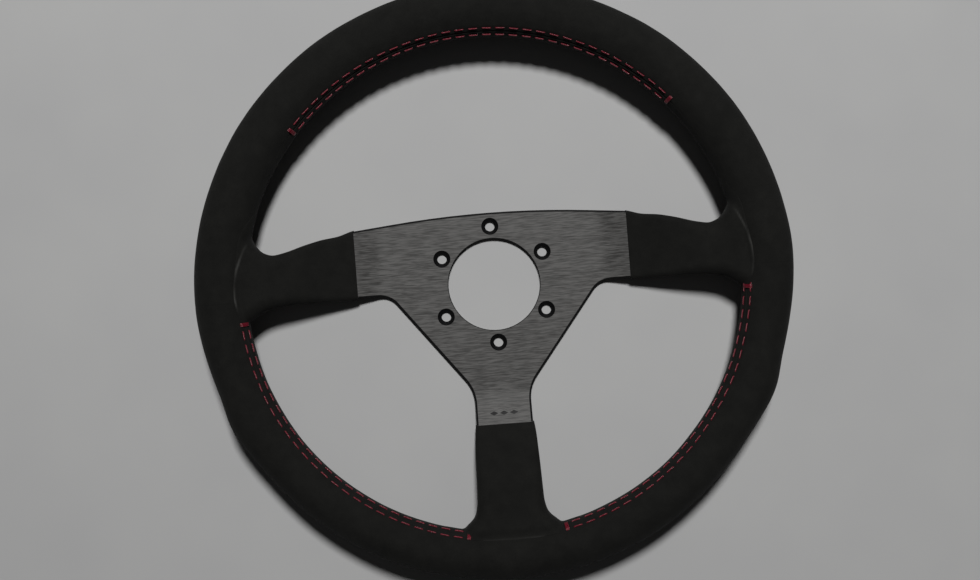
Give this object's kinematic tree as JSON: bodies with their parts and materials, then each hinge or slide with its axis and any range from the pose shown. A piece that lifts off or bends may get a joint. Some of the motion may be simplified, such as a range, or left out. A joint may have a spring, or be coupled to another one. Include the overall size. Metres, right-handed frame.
{
  "type": "sport steering wheel",
  "caption": "Round three-spoke sport steering wheel with a dished rim in black suede, red inner stitching and a brushed black hub plate drilled for a bolt-on boss.",
  "frame": {"origin": "centre of the hub on its back face, where a boss bolts on", "axes": "+Z out of the hub towards the driver, +Y towards 12 o'clock, +X towards 3 o'clock"},
  "size_m": [0.3494, 0.3473, 0.039],
  "materials": {
    "anodised_plate": "black anodised, face brushed along the horizontal, bevels smooth and darker",
    "hidden_steel": "plain mild steel tube and tabs",
    "rivet_steel": "zinc plated",
    "grip_foam": "moulded self-skinning polyurethane foam, matte",
    "rim_suede": "black microfibre suede with a short nap",
    "spoke_suede": "black microfibre suede with a short nap",
    "red_thread": "bonded polyester thread, slightly glossy"
  },
  "bodies": {
    "root": {"spoke_plate": "anodised_plate", "rim_ring": "hidden_steel", "lug_left": "hidden_steel", "lug_right": "hidden_steel", "lug_bottom": "hidden_steel", "rivets_left": "rivet_steel", "rivets_right": "rivet_steel", "rivets_bottom": "rivet_steel", "rim_foam": "grip_foam", "spoke_pad_left": "grip_foam", "spoke_pad_right": "grip_foam", "spoke_pad_bottom": "grip_foam", "rim_suede_upper": "rim_suede", "rim_suede_lower_left": "rim_suede", "rim_suede_lower_right": "rim_suede", "spoke_suede_left": "spoke_suede", "spoke_suede_right": "spoke_suede", "spoke_suede_bottom": "spoke_suede", "rim_stitch_upper": "red_thread", "rim_stitch_lower_left": "red_thread", "rim_stitch_lower_right": "red_thread", "spoke_stitch_left": "red_thread", "spoke_stitch_right": "red_thread", "spoke_stitch_bottom": "red_thread"}
  },
  "joints": []
}
